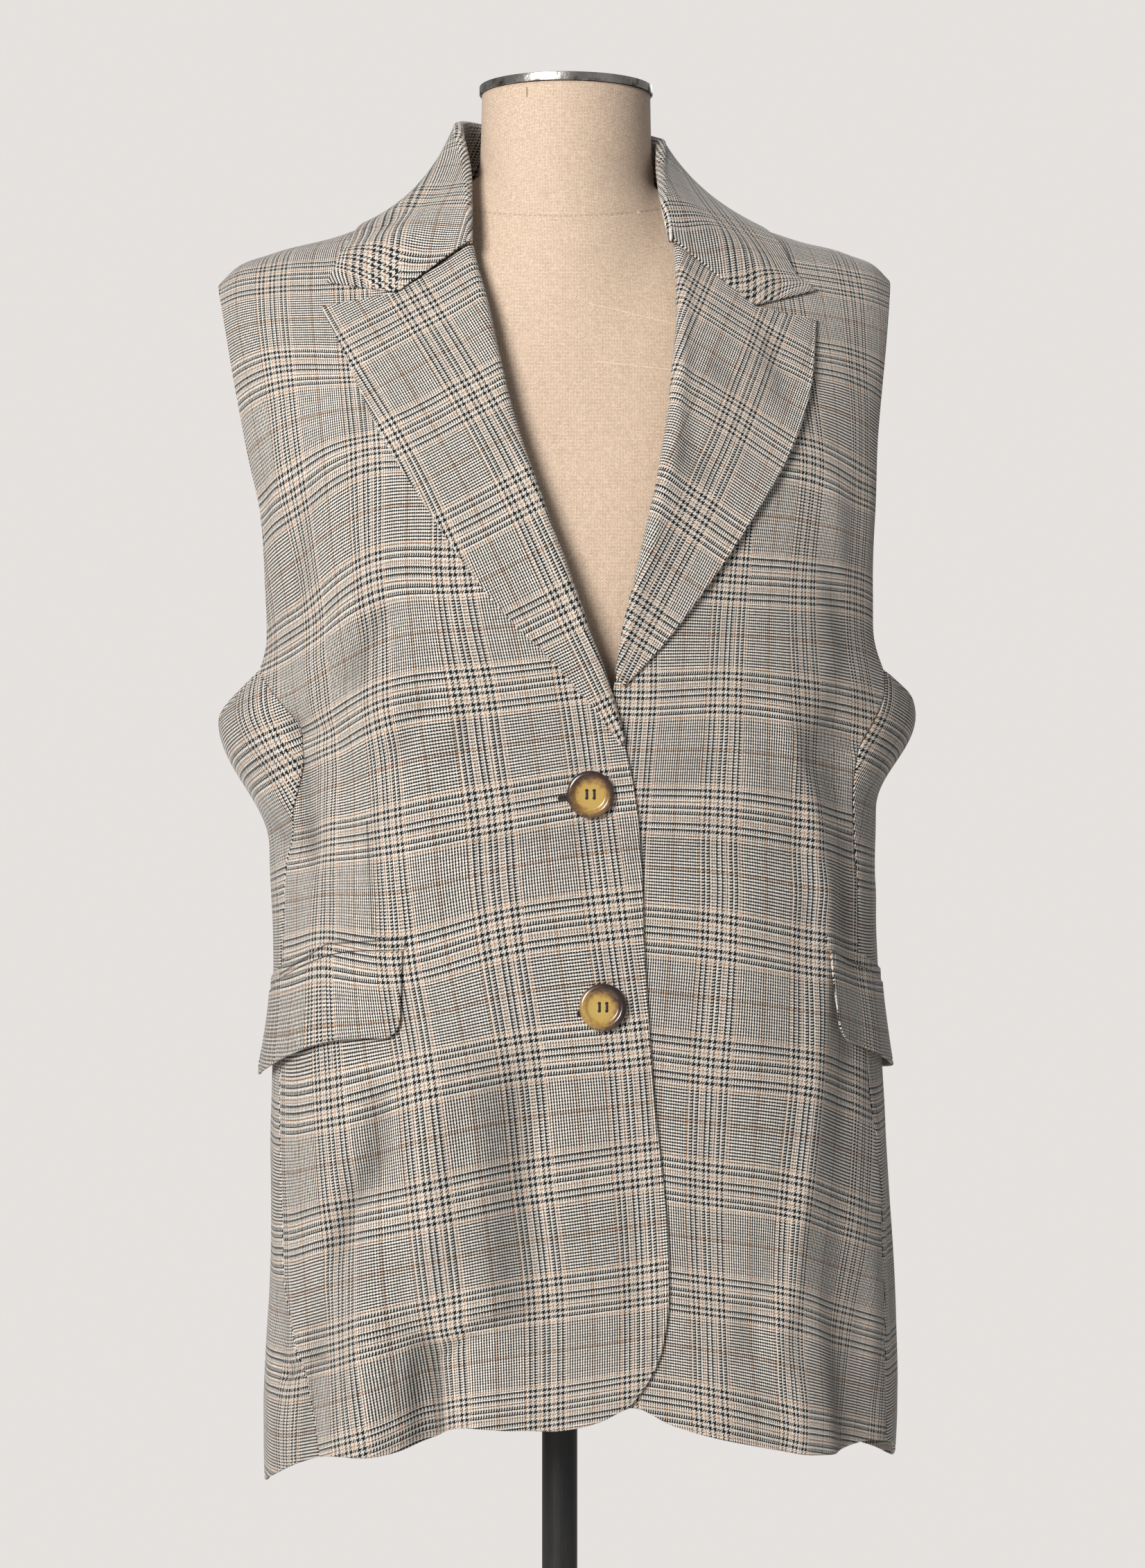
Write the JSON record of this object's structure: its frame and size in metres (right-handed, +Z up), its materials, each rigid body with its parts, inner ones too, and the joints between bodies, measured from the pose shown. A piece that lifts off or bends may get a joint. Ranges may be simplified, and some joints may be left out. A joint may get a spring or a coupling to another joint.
{
  "type": "sleeveless blazer on a dress form stand",
  "caption": "Long sleeveless glen-check blazer with notch lapels, buttoned on a limbless dress form with a pole and round base.",
  "frame": {"origin": "centre of the round base's underside, on the floor", "axes": "+Z up along the pole; the garment's front faces -Y; +X is the viewer's right"},
  "size_m": [0.4345, 0.3, 1.5165],
  "materials": {
    "cloth": "matt woven glen check",
    "linen": "matt plain linen weave",
    "horn": "polished, horn-like",
    "chrome": "worn polish",
    "black": "satin"
  },
  "bodies": {
    "root": {"front_over": "cloth", "front_under": "cloth", "side_left": "cloth", "side_right": "cloth", "back": "cloth", "lapel_over": "cloth", "lapel_under": "cloth", "collar": "cloth", "flap_left": "cloth", "flap_right": "cloth", "jet_left": "cloth", "jet_right": "cloth", "button_upper": "horn", "button_lower": "horn", "form_torso": "linen", "neck_cap": "chrome", "form_flange": "black", "pole": "black", "base_plate": "black"}
  },
  "joints": []
}
